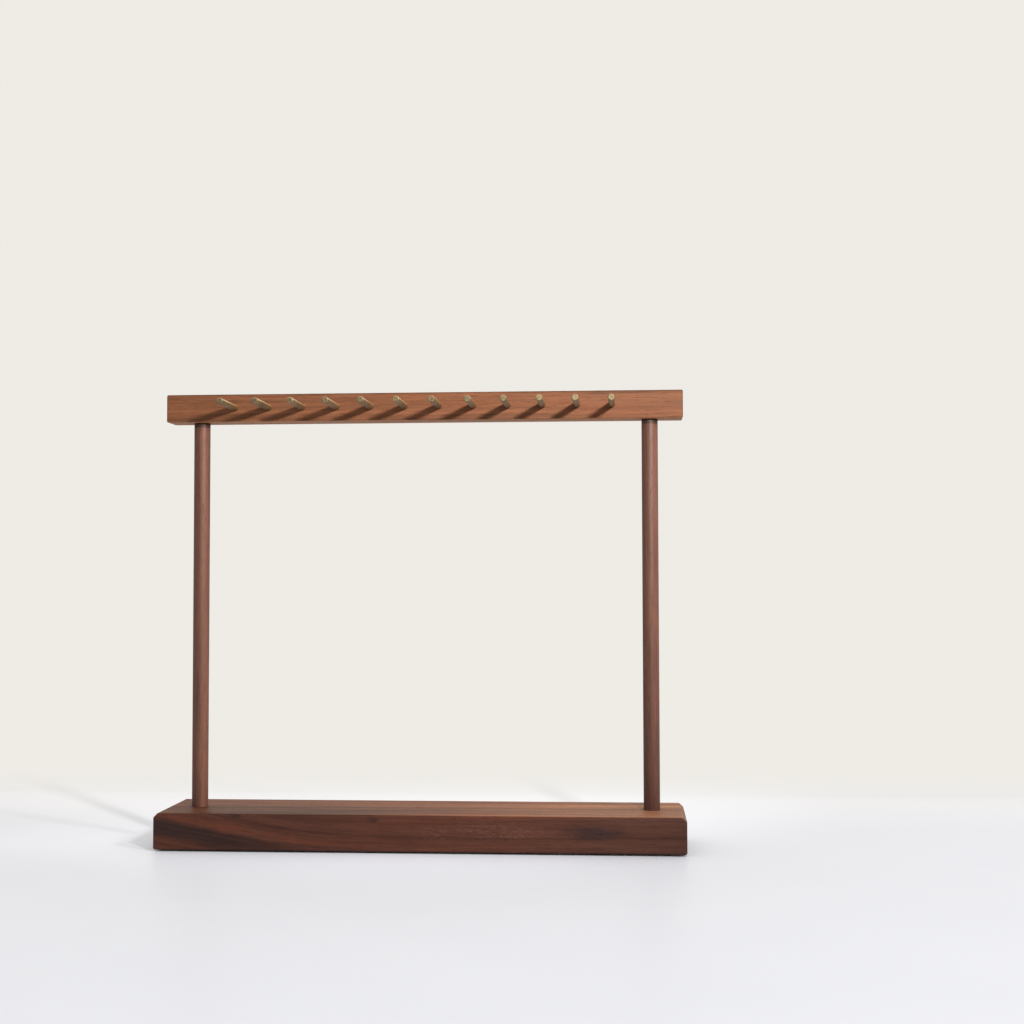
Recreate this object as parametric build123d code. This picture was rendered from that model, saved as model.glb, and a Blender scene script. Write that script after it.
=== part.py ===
"""Necklace stand: a walnut base, two round posts and a crossbar with a row of brass pegs.

Millimetres. X runs along the bar, the pegs point towards -Y and Z is up.
The origin lies on the table, under the middle of the whole stand's outline.
"""
from build123d import *
from math import radians, tan
import os

# Layout
post_spacing = 280.5  # between the centres of the two posts
post_reach = 239.0  # post in view, from the base's top to the bar's underside

# Base plank
base_overhang = 20.25  # from a post's centre to the end of the base
base_depth = 64.0
base_thickness = 22.0
base_end_bevel = 2.7  # flat bevel on the two short top edges
base_edge_round = 1.2

# Crossbar
bar_overhang = 20.25  # from a post's centre to the end of the bar
bar_depth = 19.0
bar_height = 17.2
bar_edge_round = 0.9

# Posts
post_diameter = 10.0
post_socket_depth = 6.0  # how far a post's foot sinks into the base
post_end_bevel = 0.4
post_socket_clearance = 0.1  # around the foot, on the radius

# Pegs: a round body with a shoulder, and a thinner spigot glued into the bar
peg_count = 12
peg_row_inset = 23.1  # from a post's centre to the first peg
peg_diameter = 4.0
peg_reach = 38.0  # from the bar's front face to the tip
peg_tip_round = 0.45
peg_spigot_diameter = 3.0
peg_spigot_length = 12.0
peg_spigot_bevel = 0.3
peg_glue_clearance = 0.05  # around the spigot, on the radius
peg_glue_room = 0.6  # past the spigot's end

# Threaded inserts, one form in the posts' feet and in the bar
insert_diameter = 6.0
insert_length = 10.0
insert_slot_width = 1.0
insert_slot_depth = 1.2
insert_end_bevel = 0.5
insert_seat_clearance = 0.05  # in its hole, on the radius
insert_room = 0.5  # past the end of an insert in the bar

# Bolts up through the base
bolt_diameter = 4.0
bolt_head_diameter = 7.6
bolt_head_height = 2.2
bolt_head_flat_diameter = 4.4  # the flat ring on the domed head
bolt_socket_across_flats = 2.5
bolt_socket_depth = 1.3
bolt_end_bevel = 0.5
bolt_run_out = 4.7  # past the end of the insert
bolt_thread_clearance = 0.05  # in an insert, on the radius
bolt_hole_clearance = 0.25  # through the base, on the radius
bolt_counterbore_depth = 6.5
bolt_tip_room = 2.0  # past the bolt's end, in the post

# Washers
washer_diameter = 9.0
washer_thickness = 0.8
washer_bore_clearance = 0.15  # on the radius
washer_counterbore_clearance = 0.5  # on the radius

# Hanger bolts between the posts and the bar
hanger_diameter = 4.0
hanger_wood_length = 21.0  # pointed end, in the post
hanger_point_length = 3.0
hanger_machine_length = 9.0  # in the bar's insert
hanger_end_bevel = 0.5
hanger_pilot_clearance = 0.05  # on the radius

# Felt pads
pad_diameter = 14.0
pad_thickness = 1.0
pad_end_inset = 13.0  # from the end of the base to a pad's centre
pad_side_inset = 11.0  # from the side of the base to a pad's centre

drill_point_angle = 118.0  # the conical floor of every drilled hole, in degrees
overrun = 1.0  # by which every cut passes the face that it starts from

# Worked out from the sizes above
base_length = post_spacing + 2 * base_overhang
bar_length = post_spacing + 2 * bar_overhang
peg_pitch = (post_spacing - 2 * peg_row_inset) / (peg_count - 1)

base_bottom_z = pad_thickness
base_top_z = base_bottom_z + base_thickness
post_foot_z = base_top_z - post_socket_depth
washer_seat_z = base_bottom_z + bolt_counterbore_depth
bar_bottom_z = base_top_z + post_reach
peg_z = bar_bottom_z + bar_height / 2

front_reach = max(base_depth / 2, bar_depth / 2 + peg_reach)
back_reach = max(base_depth / 2, bar_depth / 2)
frame_y = (front_reach - back_reach) / 2  # the plane of the posts
bar_front_y = frame_y - bar_depth / 2

bolt_tip_z = post_foot_z + insert_length + bolt_run_out
bolt_head_z = washer_seat_z - washer_thickness
bolt_length = bolt_tip_z - bolt_head_z

post_x = {"left": -post_spacing / 2, "right": post_spacing / 2}


def turned(outline):
    """A solid of revolution about Z from a closed outline of (radius, height) points."""
    points = [(radius, 0, height) for radius, height in outline]
    return revolve(make_face(Polyline(*points, close=True)), Axis.Z)


def drilled(radius, depth):
    """A blind hole that starts at the origin and runs up along Z to a conical floor."""
    point_length = radius / tan(radians(drill_point_angle / 2))
    return turned([
        (0, -overrun),
        (radius, -overrun),
        (radius, depth),
        (0, depth + point_length),
    ])


def drilled_through(radius, depth):
    """A plain hole that starts at the origin and runs up along Z past the given depth."""
    return Pos(Z=-overrun) * Cylinder(
        radius, depth + 2 * overrun, align=(Align.CENTER, Align.CENTER, Align.MIN))


def counterbored(radius, depth):
    """A flat-floored recess that starts at the origin and runs up along Z."""
    return Pos(Z=-overrun) * Cylinder(
        radius, depth + overrun, align=(Align.CENTER, Align.CENTER, Align.MIN))


def make_base():
    """The plank: its front outline drawn out to its depth, softened, and bored at each post."""
    half = base_length / 2
    shoulder = base_thickness - base_end_bevel
    outline = Plane.XZ * make_face(Polyline(
        (-half, 0),
        (half, 0),
        (half, shoulder),
        (half - base_end_bevel, base_thickness),
        (-half + base_end_bevel, base_thickness),
        (-half, shoulder),
        close=True))
    plank = extrude(outline, base_depth / 2, both=True)
    plank = fillet(plank.edges(), base_edge_round)
    plank = Pos(0, frame_y, base_bottom_z) * plank
    socket_radius = post_diameter / 2 + post_socket_clearance
    counterbore_radius = washer_diameter / 2 + washer_counterbore_clearance
    hole_radius = bolt_diameter / 2 + bolt_hole_clearance
    for x in post_x.values():
        plank -= Pos(x, frame_y, base_top_z) * Rot(X=180) * counterbored(socket_radius, post_socket_depth)
        plank -= Pos(x, frame_y, base_bottom_z) * counterbored(counterbore_radius, bolt_counterbore_depth)
        plank -= Pos(x, frame_y, base_bottom_z) * drilled_through(hole_radius, base_thickness)
    return plank


def make_bar():
    """The crossbar, with a blind hole for every peg and one over each post for its insert."""
    bar = Box(bar_length, bar_depth, bar_height)
    bar = fillet(bar.edges(), bar_edge_round)
    bar = Pos(0, frame_y, bar_bottom_z + bar_height / 2) * bar
    spigot_hole = drilled(peg_spigot_diameter / 2 + peg_glue_clearance, peg_spigot_length + peg_glue_room)
    for x in peg_places():
        bar -= Pos(x, bar_front_y, peg_z) * Rot(X=-90) * spigot_hole
    insert_hole = drilled(insert_diameter / 2 + insert_seat_clearance, insert_length + insert_room)
    for x in post_x.values():
        bar -= Pos(x, frame_y, bar_bottom_z) * insert_hole
    return bar


def peg_places():
    """Where the pegs stand along the bar, from left to right."""
    first = -peg_pitch * (peg_count - 1) / 2
    return [first + peg_pitch * n for n in range(peg_count)]


def make_peg():
    """A turned peg along Z: the shoulder lies at the origin, the tip above it, the spigot below."""
    body = peg_diameter / 2
    spigot = peg_spigot_diameter / 2
    peg = turned([
        (0, -peg_spigot_length),
        (spigot - peg_spigot_bevel, -peg_spigot_length),
        (spigot, -peg_spigot_length + peg_spigot_bevel),
        (spigot, 0),
        (body, 0),
        (body, peg_reach),
        (0, peg_reach),
    ])
    tip_edge = peg.edges().filter_by(GeomType.CIRCLE).sort_by(Axis.Z)[-1]
    return fillet(tip_edge, peg_tip_round)


def make_post():
    """A post along Z with its foot at the origin, bored at both ends for its fastenings."""
    radius = post_diameter / 2
    length = post_socket_depth + post_reach
    post = turned([
        (0, 0),
        (radius - post_end_bevel, 0),
        (radius, post_end_bevel),
        (radius, length - post_end_bevel),
        (radius - post_end_bevel, length),
        (0, length),
    ])
    insert_seat = counterbored(insert_diameter / 2 + insert_seat_clearance, insert_length)
    bolt_room = drilled(bolt_diameter / 2 + bolt_hole_clearance, insert_length + bolt_run_out + bolt_tip_room)
    pilot = drilled(hanger_diameter / 2 + hanger_pilot_clearance, hanger_wood_length)
    return post - insert_seat - bolt_room - Pos(Z=length) * Rot(X=180) * pilot


def make_insert(thread_diameter):
    """A threaded insert along Z: its slotted rim lies at the origin and its plain end above it."""
    outer = insert_diameter / 2
    inner = thread_diameter / 2 + bolt_thread_clearance
    insert = turned([
        (inner, 0),
        (outer, 0),
        (outer, insert_length - insert_end_bevel),
        (outer - insert_end_bevel, insert_length),
        (inner, insert_length),
    ])
    slot = Box(insert_diameter + 2 * overrun, insert_slot_width, 2 * insert_slot_depth)
    return insert - slot


def make_bolt():
    """A button head bolt along Z: the head's underside lies at the origin, its dome below."""
    shank = bolt_diameter / 2
    head = bolt_head_diameter / 2
    flat = bolt_head_flat_diameter / 2
    rim_share = 0.15
    dome_radius_share = 0.64
    dome_height_share = 0.66
    dome = ThreePointArc(
        (head, 0, -bolt_head_height * rim_share),
        (flat + (head - flat) * dome_radius_share, 0, -bolt_head_height * dome_height_share),
        (flat, 0, -bolt_head_height))
    rest = Polyline(
        (flat, 0, -bolt_head_height),
        (0, 0, -bolt_head_height),
        (0, 0, bolt_length),
        (shank - bolt_end_bevel, 0, bolt_length),
        (shank, 0, bolt_length - bolt_end_bevel),
        (shank, 0, 0),
        (head, 0, 0),
        (head, 0, -bolt_head_height * rim_share))
    bolt = revolve(make_face(dome.edges() + rest.edges()), Axis.Z)
    socket = extrude(
        RegularPolygon(bolt_socket_across_flats / 2, 6, major_radius=False), bolt_socket_depth + overrun)
    return bolt - Pos(Z=-bolt_head_height - overrun) * socket


def make_washer():
    """A flat washer along Z with its lower face at the origin."""
    outer = washer_diameter / 2
    inner = bolt_diameter / 2 + washer_bore_clearance
    return turned([
        (inner, 0),
        (outer, 0),
        (outer, washer_thickness),
        (inner, washer_thickness),
    ])


def make_hanger_bolt():
    """A headless bolt along Z: pointed below the origin for the post, blunt above it for the bar."""
    radius = hanger_diameter / 2
    return turned([
        (0, -hanger_wood_length),
        (radius, -hanger_wood_length + hanger_point_length),
        (radius, hanger_machine_length - hanger_end_bevel),
        (radius - hanger_end_bevel, hanger_machine_length),
        (0, hanger_machine_length),
    ])


def make_pad():
    """A round felt pad along Z, standing on the table."""
    return Cylinder(pad_diameter / 2, pad_thickness, align=(Align.CENTER, Align.CENTER, Align.MIN))


pieces = {"base": make_base(), "top_bar": make_bar()}

for number, x in enumerate(peg_places(), start=1):
    pieces[f"peg_{number:02d}"] = Pos(x, bar_front_y, peg_z) * Rot(X=90) * make_peg()

for side, x in post_x.items():
    pieces[f"post_{side}"] = Pos(x, frame_y, post_foot_z) * make_post()
    pieces[f"post_insert_{side}"] = Pos(x, frame_y, post_foot_z) * make_insert(bolt_diameter)
    pieces[f"base_bolt_{side}"] = Pos(x, frame_y, bolt_head_z) * make_bolt()
    pieces[f"base_washer_{side}"] = Pos(x, frame_y, bolt_head_z) * make_washer()
    pieces[f"hanger_bolt_{side}"] = Pos(x, frame_y, bar_bottom_z) * make_hanger_bolt()
    pieces[f"bar_insert_{side}"] = Pos(x, frame_y, bar_bottom_z) * make_insert(hanger_diameter)
    pad_x = base_length / 2 - pad_end_inset if x > 0 else pad_end_inset - base_length / 2
    for place, way in (("front", -1), ("back", 1)):
        pad_y = frame_y + way * (base_depth / 2 - pad_side_inset)
        pieces[f"pad_{place}_{side}"] = Pos(pad_x, pad_y, 0) * make_pad()

os.makedirs("parts", exist_ok=True)
for name, piece in pieces.items():
    export_step(piece, f"parts/{name}.step")
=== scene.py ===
"""Necklace stand: the finishes, felt pads, stage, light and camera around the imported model."""
import math

import bmesh
import bpy
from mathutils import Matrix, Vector, noise


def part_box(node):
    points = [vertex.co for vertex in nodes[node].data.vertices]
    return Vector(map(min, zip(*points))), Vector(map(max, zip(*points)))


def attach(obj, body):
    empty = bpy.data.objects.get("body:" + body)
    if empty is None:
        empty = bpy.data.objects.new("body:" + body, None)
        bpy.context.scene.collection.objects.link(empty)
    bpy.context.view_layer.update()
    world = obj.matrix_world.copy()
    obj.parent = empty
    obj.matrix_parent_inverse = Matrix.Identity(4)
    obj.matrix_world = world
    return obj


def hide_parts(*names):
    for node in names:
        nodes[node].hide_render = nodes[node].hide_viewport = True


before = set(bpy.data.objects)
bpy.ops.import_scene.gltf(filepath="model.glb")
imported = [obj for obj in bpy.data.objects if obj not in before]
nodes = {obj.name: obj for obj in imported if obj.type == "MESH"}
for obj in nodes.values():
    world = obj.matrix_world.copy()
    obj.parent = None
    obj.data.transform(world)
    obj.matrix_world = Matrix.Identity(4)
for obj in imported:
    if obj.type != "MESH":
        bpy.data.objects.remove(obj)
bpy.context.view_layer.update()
mm = 0.001


# Short calls for building a material's nodes

class Shader:
    """One material's node tree, with a short call for each kind of node that the finishes use."""

    def __init__(self, name):
        self.material = bpy.data.materials.new(name)
        self.material.use_nodes = True
        self.tree = self.material.node_tree
        self.surface = self.tree.nodes["Principled BSDF"]
        self.place = self.add("ShaderNodeTexCoord").outputs["Object"]
        self.normal = self.add("ShaderNodeTexCoord").outputs["Normal"]

    def add(self, kind, inputs=None, **settings):
        node = self.tree.nodes.new(kind)
        for key, value in settings.items():
            setattr(node, key, value)
        for key, value in (inputs or {}).items():
            self.feed(node.inputs[key], value)
        return node

    def feed(self, socket, value):
        if isinstance(value, bpy.types.NodeSocket):
            self.tree.links.new(value, socket)
        else:
            socket.default_value = value

    def set(self, **inputs):
        """Gives the surface's sockets their values, with _ in a name for a space."""
        for key, value in inputs.items():
            self.feed(self.surface.inputs[key.replace("_", " ")], value)

    def math(self, operation, *values):
        node = self.add("ShaderNodeMath", dict(enumerate(values)), operation=operation)
        return node.outputs["Value"]

    def vector(self, operation, *values):
        node = self.add("ShaderNodeVectorMath", dict(enumerate(values)), operation=operation)
        return node.outputs["Vector"]

    def split(self, vector):
        return list(self.add("ShaderNodeSeparateXYZ", {"Vector": vector}).outputs)

    def join(self, x, y, z):
        return self.add("ShaderNodeCombineXYZ", {"X": x, "Y": y, "Z": z}).outputs["Vector"]

    def noise(self, vector, stretch, detail=2.0, roughness=0.5):
        """Noise with its own number of waves per metre along each axis."""
        scaled = self.vector("MULTIPLY", vector, stretch)
        node = self.add("ShaderNodeTexNoise", {
            "Vector": scaled, "Scale": 1.0, "Detail": detail, "Roughness": roughness})
        return node.outputs["Fac"]

    def lines(self, value, density, detail=3.0, roughness=0.6):
        """Noise in one direction only: irregular lines where value is the same."""
        node = self.add("ShaderNodeTexNoise", {
            "W": value, "Scale": density, "Detail": detail, "Roughness": roughness},
            noise_dimensions="1D")
        return node.outputs["Fac"]

    def ease(self, value, start, end, low=0.0, high=1.0):
        """Goes smoothly from low to high as value goes from start to end."""
        node = self.add("ShaderNodeMapRange", {
            "Value": value, "From Min": start, "From Max": end, "To Min": low, "To Max": high},
            interpolation_type="SMOOTHSTEP")
        return node.outputs["Result"]

    def ramp(self, value, stops):
        node = self.add("ShaderNodeValToRGB", {"Fac": value})
        steps = node.color_ramp.elements
        while len(steps) < len(stops):
            steps.new(1.0)
        for step, (position, colour) in zip(steps, stops):
            step.position = position
            step.color = (*colour, 1.0)
        return node.outputs["Color"]

    def mix(self, factor, first, second, blend="MIX"):
        node = self.add("ShaderNodeMix", data_type="RGBA", blend_type=blend)
        for socket, value in zip((node.inputs[0], node.inputs[6], node.inputs[7]), (factor, first, second)):
            is_colour = isinstance(value, tuple) and len(value) == 3
            self.feed(socket, (*value, 1.0) if is_colour else value)
        return node.outputs[2]

    def bump(self, height, depth, strength=1.0):
        node = self.add("ShaderNodeBump", {"Height": height, "Distance": depth, "Strength": strength})
        self.set(Normal=node.outputs["Normal"])


def total(shader, *parts):
    """The sum of (value, weight) pairs."""
    result = None
    for value, weight in parts:
        term = shader.math("MULTIPLY", value, weight)
        result = term if result is None else shader.math("ADD", result, term)
    return result


# Walnut

red_wood_tint = (1.0, 0.82, 0.70)
pore_tint = (0.42, 0.36, 0.34)
pore_depth, pore_strength = 0.08 * mm, 0.25
end_grain_tint = (0.62, 0.56, 0.54)
ring_wander = 12 * mm
flat_face = (0.70, 0.94)  # how squarely a face looks up or down: from not at all to wholly
bevel_share = 0.35  # how much of an end bevel's slant counts towards that


def tones(mid):
    """Colours from dark to pale around a board's middle colour."""
    shares = (0.50, 0.76, 1.0, 1.22, 1.50)
    return [tuple(channel * share for channel in mid) for share in shares]


def walnut(name, grain, pith, mid, dip=None, figure=None, board=None, painted_face_light=None, edges=None,
           gloss=0.12, dullness=0.38, dusty_top=0.0, seed=0.0):
    """Oiled walnut as a solid: rings about a heart that lies outside the board, so that the
    faces, edges and ends each show their own cut of the same grain.

    grain: the axis that the fibres follow; pith: the heart's place in the other two axes;
    mid: the middle colour; dip: how far the rings sink along the board; figure: adds the marks
    of this one board, some of them painted light and shade; board: the squared node whose edges
    are tinted; painted_face_light: how much lighter the upper and lower faces are painted than
    the sides, as painted light from above and painted sheen on the upper faces, painted bounce
    light and sheen from the floor on the lower faces; edges: the tints of the upper and lower
    edges, the bar's paler lower edges being painted light from below; gloss and dullness: how
    strong and how rough the oil finish's shine is; dusty_top: how much duller the upper face is;
    seed: how far along the grain the pattern starts.
    """
    shader = Shader(name)
    x, y, z = shader.split(shader.place)
    along, across, through = {"X": (x, y, z), "Z": (z, x, y)}[grain]
    if dip:
        through = shader.math("ADD", through, dip(shader, along))
    place = shader.join(shader.math("ADD", along, seed), across, through)

    wander = shader.noise(place, (3.5, 16.0, 16.0), 2.0)
    pith_across, pith_through = pith
    from_pith = shader.join(
        0.0, shader.math("SUBTRACT", across, pith_across), shader.math("SUBTRACT", through, pith_through))
    radius = shader.add("ShaderNodeVectorMath", {0: from_pith}, operation="LENGTH").outputs["Value"]
    radius = shader.math("MULTIPLY_ADD", wander, ring_wander, radius)

    rings = shader.lines(radius, 170.0, 4.0, 0.66)
    zones = shader.noise(place, (4.0, 34.0, 34.0), 3.0, 0.55)
    bands = shader.noise(place, (6.0, 125.0, 125.0), 2.0, 0.55)
    mottle = shader.noise(place, (26.0, 420.0, 420.0), 3.0, 0.6)
    streaks = shader.noise(place, (22.0, 600.0, 600.0), 3.0, 0.65)
    fibres = shader.noise(place, (75.0, 1900.0, 1900.0), 2.0, 0.6)
    pores = shader.noise(place, (160.0, 2600.0, 2600.0), 1.0, 0.4)
    pore_mask = shader.ease(pores, 0.58, 0.68)

    tone = total(shader, (rings, 0.30), (zones, 0.14), (bands, 0.22),
                 (mottle, 0.16), (streaks, 0.26), (fibres, 0.16))
    places = (0.46, 0.55, 0.62, 0.69, 0.78)
    colour = shader.ramp(tone, list(zip(places, tones(mid))))
    red_zone = shader.noise(place, (6.0, 70.0, 70.0), 2.0)
    colour = shader.mix(shader.ease(red_zone, 0.45, 0.75, 0.0, 0.5), colour, red_wood_tint, "MULTIPLY")
    if figure:
        colour = figure(shader, (x, y, z), colour)
    colour = shader.mix(shader.math("MULTIPLY", pore_mask, 0.40), colour, pore_tint, "MULTIPLY")

    normals = shader.split(shader.normal)
    end_grain = shader.ease(shader.math("ABSOLUTE", normals["XYZ".index(grain)]), 0.75, 0.97)
    colour = shader.mix(shader.math("MULTIPLY", end_grain, 0.6), colour, end_grain_tint, "MULTIPLY")
    # painted light: upper and lower faces are painted lighter than the sides, standing in for light from
    # above, bounce light from below and sheen
    if painted_face_light:
        bevelled = shader.math("MULTIPLY", shader.math("ABSOLUTE", normals[0]), bevel_share)
        for lift, up in zip(painted_face_light, (1.0, -1.0)):
            facing = shader.math("MULTIPLY_ADD", normals[2], up, bevelled)
            painted_lit_colour = shader.vector("MULTIPLY", colour, lift)
            colour = shader.mix(shader.ease(facing, *flat_face), colour, painted_lit_colour)

    roughness = total(shader, (fibres, 0.16), (streaks, 0.12), (pore_mask, 0.10), (end_grain, 0.12))
    roughness = shader.math("ADD", roughness, dullness)
    dust = shader.ease(normals[2], *flat_face, 0.0, dusty_top)
    roughness = shader.math("ADD", roughness, dust)
    if board:
        edge_band_mask = edge_band(shader, board, place)
        # edge tints: the bar's paler lower edges are painted light from below, as its underside is; the
        # other edges are darker
        upper, lower = edges
        tint = shader.mix(shader.ease(normals[2], -0.25, 0.25), lower, upper)
        colour = shader.mix(edge_band_mask, colour, tint, "MULTIPLY")
        roughness = shader.math("MULTIPLY_ADD", edge_band_mask, -0.06, roughness)
    height = total(shader, (fibres, 0.5), (pore_mask, -0.8), (streaks, 0.5))
    shader.set(Base_Color=colour, Roughness=roughness, Specular_IOR_Level=gloss)
    shader.bump(height, pore_depth, pore_strength)
    return shader.material


def edge_band(shader, board, place):
    """1 along a squared board's edges and 0 on its faces, broken up by noise."""
    low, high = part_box(board)
    depths = []
    for value, start, end in zip(shader.split(shader.place), low, high):
        offset = shader.math("ABSOLUTE", shader.math("SUBTRACT", value, (start + end) / 2))
        depths.append(shader.math("SUBTRACT", (end - start) / 2, offset))
    first, second, third = depths
    near, far = shader.math("MINIMUM", first, second), shader.math("MAXIMUM", first, second)
    to_edge = shader.math("MAXIMUM", near, shader.math("MINIMUM", far, third))
    edge_band_ends, edge_band_full = 1.1 * mm, 0.3 * mm
    edge_band_and_dim_highlight = shader.ease(to_edge, edge_band_ends, edge_band_full)
    patches = shader.noise(place, (70.0, 220.0, 220.0), 3.0, 0.65)
    return shader.math("MULTIPLY", edge_band_and_dim_highlight, shader.ease(patches, 0.38, 0.62, 0.25, 1.0))


def base_dip(shader, along):
    """The base's grain runs level for most of its length and sinks at its left end."""
    level_from, slope, bend = -60 * mm, 0.165, 40 * mm
    past = shader.math("SUBTRACT", level_from, along)
    past = shader.math("SMOOTH_MAX", past, 0.0, bend)
    return shader.math("MULTIPLY", past, -slope)


def spot(shader, place, centre, reach):
    """1 at a mark's centre, falling to 0 at its reach, seen on the base's long sides."""
    x, _, z = place
    across = shader.math("DIVIDE", shader.math("SUBTRACT", x, centre[0]), reach[0])
    up = shader.math("DIVIDE", shader.math("SUBTRACT", z, centre[1]), reach[1])
    wobble = shader.noise(shader.place, (70.0, 70.0, 260.0), 3.0, 0.6)
    distance = shader.math("SQRT", total(
        shader, (shader.math("MULTIPLY", across, across), 1.0), (shader.math("MULTIPLY", up, up), 1.0)))
    distance = shader.math("ADD", distance, shader.math("MULTIPLY_ADD", wobble, 1.2, -0.6))
    facing = shader.ease(shader.math("ABSOLUTE", shader.split(shader.normal)[1]), 0.6, 0.9)
    return shader.math("MULTIPLY", facing, shader.ease(distance, 1.1, 0.1))


def top_figure(shader, place, colour):
    """The base's flat-sawn top: long streaks, paler to the back, and paler towards the right end, partly as
    the wood's own tone and partly as painted light from the lamps at the right.
    """
    x, y, _ = place
    wide = shader.noise(shader.place, (4.0, 60.0, 20.0), 3.0, 0.6)
    narrow = shader.noise(shader.place, (6.0, 130.0, 40.0), 3.0, 0.65)
    fine = shader.noise(shader.place, (14.0, 620.0, 40.0), 3.0, 0.65)
    streaks = total(shader, (wide, 0.40), (narrow, 0.40), (fine, 0.20))
    shade = shader.ease(streaks, 0.42, 0.58, 0.68, 1.30)
    shade = shader.math("MULTIPLY", shade, shader.ease(y, -25 * mm, 32 * mm, 0.86, 1.14))
    colour = shader.vector("MULTIPLY", colour, shader.join(shade, shade, shade))
    # painted light, partly the wood's own tone: the top grows lighter towards the right end
    tone_and_light_ends = ((0.83, 1.62), (0.81, 1.70), (0.70, 1.60))  # red, green and blue, from left to right
    tone_and_light_slopes = [shader.ease(x, -60 * mm, 200 * mm, low, high) for low, high in tone_and_light_ends]
    return shader.vector("MULTIPLY", colour, shader.join(*tone_and_light_slopes))


def flecks(shader, place):
    """Short fine dashes that lean both ways, as rays do where a plain saw cuts them."""
    lean, waves = math.radians(12), (260.0, 200.0, 1700.0)
    x, y, z = place
    both = []
    for turn in (lean, -lean):
        along = total(shader, (x, math.cos(turn)), (z, math.sin(turn)))
        across = total(shader, (x, -math.sin(turn)), (z, math.cos(turn)))
        both.append(shader.ease(shader.noise(shader.join(along, y, across), waves, 2.0, 0.5), 0.50, 0.74))
    return shader.math("MAXIMUM", *both)


def base_figure(shader, place, colour):
    """Dark heartwood that sinks from the base's left end, red wood above it, marks and pale flecks."""
    heart_tint, red_tint = (0.40, 0.55, 0.74), (1.32, 1.10, 0.95)
    grey_tint, fleck_tint = (1.08, 1.25, 1.38), (2.1, 2.5, 2.6)
    x, y, z = place
    sunk = shader.math("ADD", z, base_dip(shader, x))
    heart_edge = shader.noise(shader.place, (25.0, 25.0, 160.0), 3.0, 0.6)
    sunk = shader.math("ADD", sunk, shader.math("MULTIPLY_ADD", heart_edge, 10 * mm, -5 * mm))
    heart = shader.math("MULTIPLY", shader.ease(sunk, 5.5 * mm, 0.5 * mm),
                        shader.ease(sunk, -10.5 * mm, -5 * mm))
    heart = shader.math("MULTIPLY", heart, shader.ease(x, -70 * mm, -125 * mm, 0.35, 1.0))
    red = shader.math("MULTIPLY", shader.ease(sunk, 10 * mm, 6 * mm), shader.ease(sunk, 1.5 * mm, 4.5 * mm))
    red = shader.math("MULTIPLY", red, shader.ease(x, 20 * mm, -60 * mm))
    red = shader.math("MULTIPLY", red, shader.ease(
        shader.noise(shader.place, (40.0, 40.0, 200.0), 2.0), 0.40, 0.62))
    above = shader.math("MULTIPLY", shader.ease(sunk, 8.5 * mm, 12.5 * mm),
                        shader.ease(x, -20 * mm, -75 * mm, 0.0, 0.2))
    colour = shader.mix(shader.math("MAXIMUM", heart, above), colour, heart_tint, "MULTIPLY")
    colour = shader.mix(shader.math("MULTIPLY", red, 0.75), colour, red_tint, "MULTIPLY")
    marks = (
        ((-110 * mm, 22 * mm), (5 * mm, 2.0 * mm)),
        ((-26 * mm, 20 * mm), (5 * mm, 2.4 * mm)),
        ((106 * mm, 13.5 * mm), (26 * mm, 5.5 * mm)),
    )
    for centre, reach in marks:
        mark = shader.math("MULTIPLY", spot(shader, place, centre, reach), 0.85)
        colour = shader.mix(mark, colour, heart_tint, "MULTIPLY")
    greyer = shader.ease(x, 0.0, 150 * mm)
    colour = shader.mix(greyer, colour, grey_tint, "MULTIPLY")
    facing_up = shader.ease(shader.split(shader.normal)[2], 0.5, 0.95)
    colour = shader.mix(facing_up, colour, top_figure(shader, place, colour))
    fields = (((12 * mm, 12 * mm), (14 * mm, 6 * mm)), ((46 * mm, 14 * mm), (36 * mm, 9 * mm)))
    near, far = (spot(shader, place, *field) for field in fields)
    pale = shader.math("MULTIPLY", shader.math("MAXIMUM", near, far), flecks(shader, place))
    return shader.mix(shader.math("MULTIPLY", pale, 0.6), colour, fleck_tint, "MULTIPLY")


def post_figure(node, foot_tint):
    """One dowel's tone: painted shade on its left and painted light on its right, another tone at its foot,
    and the bar's painted shadow at its top.
    """
    low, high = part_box(node)
    axis_x, radius = (low[0] + high[0]) / 2, (high[0] - low[0]) / 2
    painted_left_shade, painted_right_light = 0.86, 1.24
    foot_from, foot_full = 150 * mm, 30 * mm
    painted_shadow_tint, painted_shadow_ragged = (0.40, 0.36, 0.35), 1.6 * mm
    painted_shadow_from, painted_shadow_full = high[2] - 2.9 * mm, high[2] - 1.5 * mm

    def figure(shader, place, colour):
        x, _, z = place
        # painted shade and light across the dowel: darker on its left, lighter on its right, where the
        # lamps are
        off_axis = shader.math("SUBTRACT", x, axis_x)
        side = shader.ease(off_axis, -0.5 * radius, 0.9 * radius, painted_left_shade, painted_right_light)
        colour = shader.vector("MULTIPLY", colour, shader.join(side, side, side))
        foot = shader.ease(z, foot_from, foot_full)
        colour = shader.mix(foot, colour, foot_tint, "MULTIPLY")
        # painted shadow of the bar: a ragged dark band on the dowel just below the bar
        ragged = shader.noise(shader.place, (300.0, 300.0, 60.0), 3.0, 0.6)
        height = shader.math("MULTIPLY_ADD", ragged, painted_shadow_ragged, z)
        painted_shadow = shader.ease(height, painted_shadow_from, painted_shadow_full)
        return shader.mix(painted_shadow, colour, painted_shadow_tint, "MULTIPLY")

    return figure


# Metals and felt

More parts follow.
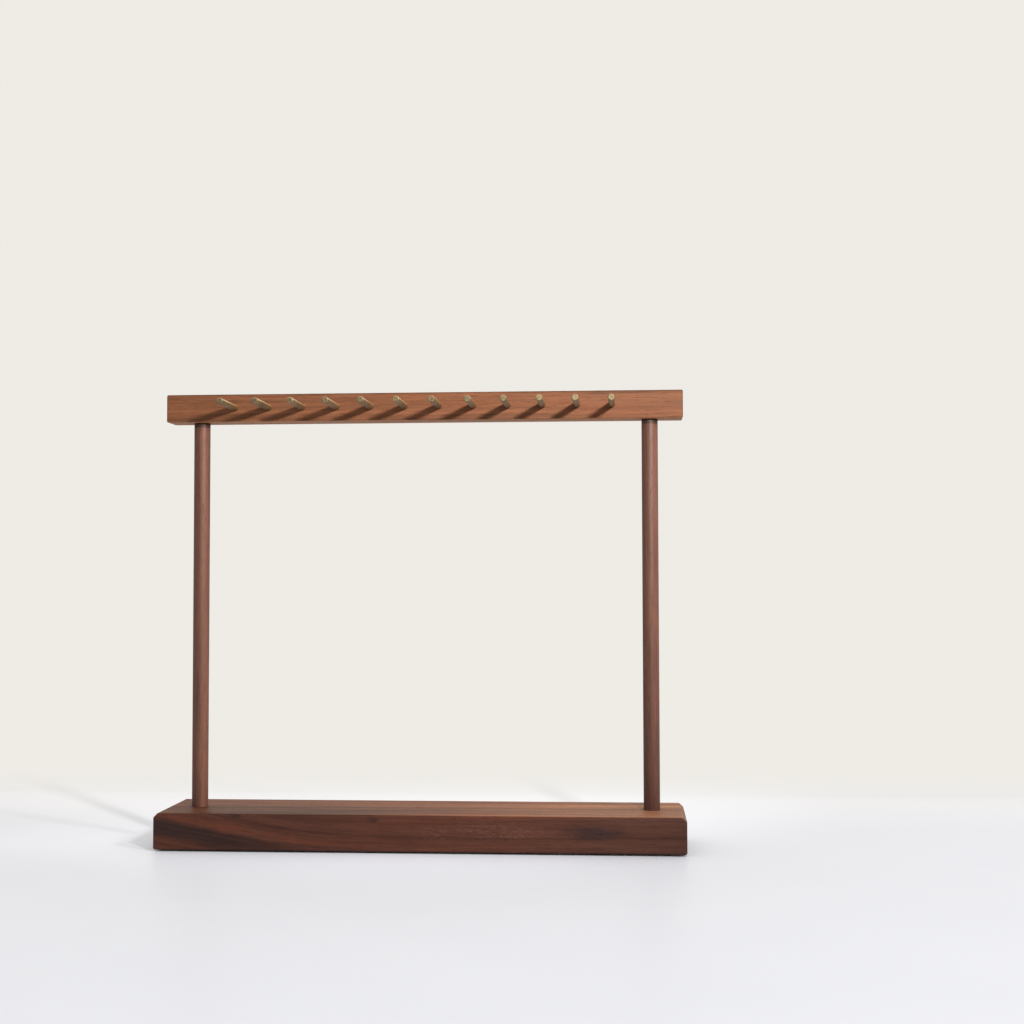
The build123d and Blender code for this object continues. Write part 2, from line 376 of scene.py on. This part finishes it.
def peg_brass():
    """Dull brass rod: a painted highlight along its top, painted shade on its underside, saw marks on its
    cut tip.
    """
    shader = Shader("peg_brass")
    first_low, first_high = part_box("peg_01")
    second_low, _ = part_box("peg_02")
    pitch = second_low[0] - first_low[0]
    axis_x = (first_low[0] + first_high[0]) / 2
    axis_z = (first_low[2] + first_high[2]) / 2
    x, y, z = shader.split(shader.place)
    own_x = shader.math("WRAP", shader.math("SUBTRACT", x, axis_x), pitch / 2, -pitch / 2)
    own_z = shader.math("SUBTRACT", z, axis_z)

    draw_lines = shader.noise(shader.place, (2600.0, 25.0, 2600.0), 3.0, 0.65)
    saw_cut = shader.lines(total(shader, (own_x, 0.75), (own_z, -0.66)), 3600.0, 2.0)
    normals = shader.split(shader.normal)
    end_on = shader.math("ABSOLUTE", normals[1])
    tip = shader.ease(end_on, 0.8, 0.97)
    # painted highlight on the upper faces, where the lamps light the rod
    painted_highlight = shader.ease(normals[2], 0.05, 0.75)
    rim = shader.math("MULTIPLY", shader.ease(end_on, 0.05, 0.25), shader.ease(end_on, 0.97, 0.8))
    tarnish = shader.noise(shader.place, (95.0, 60.0, 95.0), 4.0, 0.6)
    smudge = shader.ease(tarnish, 0.42, 0.68)

    bright, dull = (0.205, 0.122, 0.051), (0.122, 0.070, 0.028)
    # the pale and dim colours of the painted highlight
    highlight_pale, edge_band_and_dim_highlight = (0.84, 0.60, 0.30), (0.56, 0.38, 0.17)
    cut_pale, cut_dark = (0.137, 0.106, 0.058), (0.055, 0.042, 0.024)
    painted_shade_tint, drawn_tint = (0.45, 0.40, 0.36), (0.72, 0.66, 0.58)
    colour = shader.mix(smudge, bright, dull)
    # painted shade: the rod's underside is darkened
    painted_shade = shader.ease(normals[2], -0.45, -0.80, 0.0, 0.45)
    colour = shader.mix(painted_shade, colour, painted_shade_tint, "MULTIPLY")
    highlight_colour = shader.mix(smudge, highlight_pale, edge_band_and_dim_highlight)
    colour = shader.mix(shader.math("MULTIPLY", painted_highlight, 0.85), colour, highlight_colour)
    drawn = shader.ease(draw_lines, 0.45, 0.70, 0.0, 0.6)
    colour = shader.mix(drawn, colour, drawn_tint, "MULTIPLY")
    blotch = shader.noise(shader.place, (700.0, 200.0, 700.0), 3.0, 0.6)
    cut_tone = total(shader, (saw_cut, 0.45), (blotch, 0.55))
    colour = shader.mix(tip, colour, shader.mix(shader.ease(cut_tone, 0.36, 0.64), cut_dark, cut_pale))
    fine = shader.add("ShaderNodeMix", {0: tip, 2: draw_lines, 3: saw_cut}, data_type="FLOAT").outputs[0]
    roughness = total(shader, (smudge, 0.08), (fine, 0.08), (rim, -0.22), (painted_highlight, -0.20))
    roughness = shader.math("ADD", roughness, 0.50)
    shader.set(Base_Color=colour, Metallic=0.8, Roughness=roughness)
    shader.bump(fine, 0.03 * mm, 0.35)
    return shader.material


def plain_metal(name, bright, dull, scale, roughness_low):
    """A plated or turned fastener: mottled plating and fine handling marks."""
    shader = Shader(name)
    mottle = shader.noise(shader.place, (scale, scale, scale), 4.0, 0.6)
    marks = shader.noise(shader.place, (scale * 9, scale * 9, scale * 2), 2.0, 0.7)
    colour = shader.mix(shader.ease(mottle, 0.35, 0.68), bright, dull)
    roughness = shader.math("ADD", total(shader, (mottle, 0.16), (marks, 0.14)), roughness_low)
    shader.set(Base_Color=colour, Metallic=1.0, Roughness=roughness)
    shader.bump(marks, 0.02 * mm, 0.4)
    return shader.material


def pad_felt():
    """Pressed wool felt: mixed grey-brown fibres, matted and a little fuzzy."""
    shader = Shader("pad_felt")
    fibres = shader.noise(shader.place, (2400.0, 2400.0, 1500.0), 4.0, 0.75)
    clumps = shader.noise(shader.place, (420.0, 420.0, 420.0), 3.0, 0.6)
    tone = total(shader, (fibres, 0.65), (clumps, 0.35))
    colour = shader.ramp(tone, [(0.30, (0.020, 0.016, 0.014)), (0.50, (0.055, 0.044, 0.037)),
                                (0.72, (0.13, 0.11, 0.095))])
    shader.set(Base_Color=colour, Roughness=0.95, Specular_IOR_Level=0.2,
               Sheen_Weight=0.4, Sheen_Roughness=0.6)
    shader.bump(tone, 0.25 * mm, 0.9)
    return shader.material


def finish_node(name, material):
    for entry in nodes[name].material_slots:
        entry.material = material


# Felt pads

def make_pad(node, material):
    """A die-cut felt disc in its pad's place: fuzzy rounded rim, faces that are not quite level."""
    low, high = (Vector(corner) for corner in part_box(node))
    centre = (low + high) / 2
    radius = (high.x - low.x) / 2
    thickness = high.z - low.z
    rim = 0.30 * thickness
    around, inward, rim_steps = 72, 9, 4
    side_waves, side_wobble = 420.0, 0.015
    face_waves, face_wobble, face_shift = 300.0, 0.06, Vector((7, 3, 1))
    middle_share = 0.94  # of the half thickness, at the middle of a face

    profile = []
    for step in range(inward):
        profile.append((step / inward * (radius - rim), thickness / 2))
    for side in (1, -1):
        for step in range(rim_steps + 1):
            turn = math.radians(90) * (step / rim_steps)
            angle = math.radians(90) - turn if side > 0 else -turn
            profile.append((radius - rim + rim * math.cos(angle),
                            side * (thickness / 2 - rim) + rim * math.sin(angle)))
    for step in reversed(range(inward)):
        profile.append((step / inward * (radius - rim), -thickness / 2))

    mesh = bpy.data.meshes.new(node + "_felt")
    shape = bmesh.new()
    rows = []
    for distance, height in profile[1:-1]:
        row = []
        for index in range(around):
            angle = 2 * math.pi * index / around
            spot_place = Vector((distance * math.cos(angle), distance * math.sin(angle), height))
            squeeze = 1 - side_wobble * (1 + noise.noise((spot_place + centre) * side_waves))
            lift = 1 - face_wobble * (1 + noise.noise((spot_place + centre) * face_waves + face_shift))
            spot_place = Vector((spot_place.x * squeeze, spot_place.y * squeeze, spot_place.z * lift))
            row.append(shape.verts.new(spot_place + centre))
        rows.append(row)
    for upper, lower in zip(rows, rows[1:]):
        for index in range(around):
            following = (index + 1) % around
            shape.faces.new((upper[index], lower[index], lower[following], upper[following]))
    for row, height, flip in ((rows[0], thickness / 2, False), (rows[-1], -thickness / 2, True)):
        middle = shape.verts.new(centre + Vector((0, 0, height * middle_share)))
        for index in range(around):
            following = (index + 1) % around
            corners = (middle, row[index], row[following])
            shape.faces.new(tuple(reversed(corners)) if flip else corners)
    shape.to_mesh(mesh)
    shape.free()
    mesh.shade_smooth()
    mesh.materials.append(material)
    pad = bpy.data.objects.new(node + "_felt", mesh)
    bpy.context.scene.collection.objects.link(pad)
    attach(pad, "root")
    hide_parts(node)


# Finishes on the pieces

base_brown = (0.066, 0.0226, 0.014)
bar_brown = (0.103, 0.0388, 0.0170)
post_brown = (0.080, 0.0330, 0.0215)
# painted light: the base's top is painted lighter than its sides, for light from above and sheen
finish_node("base", walnut(
    "walnut_base", "X", (-60 * mm, -110 * mm), base_brown, dip=base_dip, figure=base_figure, board="base",
    painted_face_light=((2.25, 2.4, 1.95), (1.0, 1.0, 1.0)), edges=((0.75, 0.78, 0.85), (0.6, 0.65, 0.7))))
# painted light: the bar's underside and lower edges are painted paler, for bounce light and sheen from the
# floor, and its top a little paler, for light from above
finish_node("top_bar", walnut(
    "walnut_bar", "X", (40 * mm, 400 * mm), bar_brown, board="top_bar", dullness=0.46, dusty_top=0.36,
    painted_face_light=((1.3, 1.35, 1.4), (2.7, 3.2, 3.5)), edges=((0.55, 0.6, 0.65), (1.2, 1.25, 1.3)), seed=3.0))
foot_tints = {"left": (1.30, 1.32, 1.28), "right": (0.88, 0.84, 0.86)}
for side, foot_tint in foot_tints.items():
    finish_node(f"post_{side}", walnut(
        f"walnut_post_{side}", "Z", (40 * mm, 160 * mm), post_brown,
        figure=post_figure(f"post_{side}", foot_tint), gloss=0.20, dullness=0.36, seed=7.0))

peg_material = peg_brass()
zinc = plain_metal("zinc_plate", (0.62, 0.62, 0.60), (0.42, 0.42, 0.41), 240.0, 0.22)
turned_brass = plain_metal("turned_brass", (0.68, 0.50, 0.25), (0.48, 0.34, 0.16), 260.0, 0.26)
felt = pad_felt()
for name in nodes:
    if name.startswith("peg_"):
        finish_node(name, peg_material)
    elif "bolt" in name or "washer" in name:
        finish_node(name, zinc)
    elif "insert" in name:
        finish_node(name, turned_brass)
    elif name.startswith("pad_"):
        make_pad(name, felt)


# Stage, light and camera

room_colour = (0.86, 0.835, 0.79)


def make_stage():
    """A wide, pale, level floor that runs into the background's colour far from the stand."""
    reach, around = 2.6, 96
    floor_dim, floor_pale = (0.82, 0.85, 0.935), (0.85, 0.88, 0.965)
    shade_tint, black = (0.88, 0.87, 0.86), (0.0, 0.0, 0.0)
    fade_out, fade_back = (0.6, 1.1), (0.05, 0.40)  # from the floor's to the background's colour
    shade_back, shade_left = (-0.02, 0.10), (0.25, -0.10)
    mesh = bpy.data.meshes.new("stage_floor")
    shape = bmesh.new()
    shape.faces.new([shape.verts.new((reach * math.cos(2 * math.pi * index / around),
                                      reach * math.sin(2 * math.pi * index / around), 0.0))
                     for index in range(around)])
    shape.to_mesh(mesh)
    shape.free()
    shader = Shader("stage_pale")
    mottle = shader.noise(shader.place, (14.0, 14.0, 14.0), 3.0)
    distance = shader.add("ShaderNodeVectorMath", {0: shader.place}, operation="LENGTH").outputs["Value"]
    x, y, _ = shader.split(shader.place)
    far = shader.math("MAXIMUM", shader.ease(distance, *fade_out), shader.ease(y, *fade_back))
    pale = shader.mix(mottle, floor_dim, floor_pale)
    # painted shade: the floor is darker behind the stand and to its left
    shaded = shader.math("MULTIPLY", shader.ease(y, *shade_back), shader.ease(x, *shade_left))
    pale = shader.mix(shaded, pale, shade_tint, "MULTIPLY")
    shader.set(Base_Color=shader.mix(far, pale, black), Roughness=0.42,
               Specular_IOR_Level=shader.ease(far, 0.0, 0.6, 0.18, 0.0),
               Emission_Color=(*room_colour, 1.0), Emission_Strength=far)
    mesh.materials.append(shader.material)
    stage = bpy.data.objects.new("stage_floor", mesh)
    bpy.context.scene.collection.objects.link(stage)


def place_light(data, place, target):
    light = bpy.data.objects.new(data.name, data)
    light.location = place
    light.rotation_euler = (Vector(target) - Vector(place)).to_track_quat("-Z", "Y").to_euler()
    bpy.context.scene.collection.objects.link(light)


def make_key_light():
    """A small lamp at the right front, hooded so that it lights the bar more than the base."""
    data = bpy.data.lights.new("key", "SPOT")
    data.energy = 46.0
    data.color = (1.0, 0.97, 0.93)
    data.shadow_soft_size = 28 * mm
    data.spot_size = math.radians(58)
    data.spot_blend = 1.0
    place, target = (320 * mm, -620 * mm, 410 * mm), (40 * mm, 0.0, 315 * mm)
    place_light(data, place, target)


def make_window_light():
    """Soft light from far at the right, which draws the faint shadows on the floor at the left."""
    data = bpy.data.lights.new("window", "AREA")
    data.shape = "DISK"
    data.size = 0.22
    data.energy = 12.0
    data.color = (1.0, 0.98, 0.96)
    place, target = (1.52, -1.15, 1.10), (0.0, 0.0, 0.10)
    place_light(data, place, target)


def make_world():
    """Even light from a pale warm room."""
    world = bpy.data.worlds.new("studio")
    world.use_nodes = True
    background = world.node_tree.nodes["Background"]
    background.inputs["Color"].default_value = (*room_colour, 1.0)
    background.inputs["Strength"].default_value = 1.0
    bpy.context.scene.world = world


def make_camera():
    """The camera of the photograph, from the stand's outline in it."""
    photo_width, focal_pixels, sensor_width = 1024, 1569.1, 36.0
    data = bpy.data.cameras.new("photo_camera")
    data.sensor_width = sensor_width
    data.lens = focal_pixels / photo_width * sensor_width
    camera = bpy.data.objects.new("photo_camera", data)
    camera.location = (125.0 * mm, -960.6 * mm, 161.8 * mm)
    camera.rotation_euler = (math.radians(92.563), math.radians(0.126), math.radians(4.138))
    bpy.context.scene.collection.objects.link(camera)
    bpy.context.scene.camera = camera


make_stage()
make_world()
make_key_light()
make_window_light()
make_camera()
bpy.context.scene.view_settings.view_transform = "Standard"
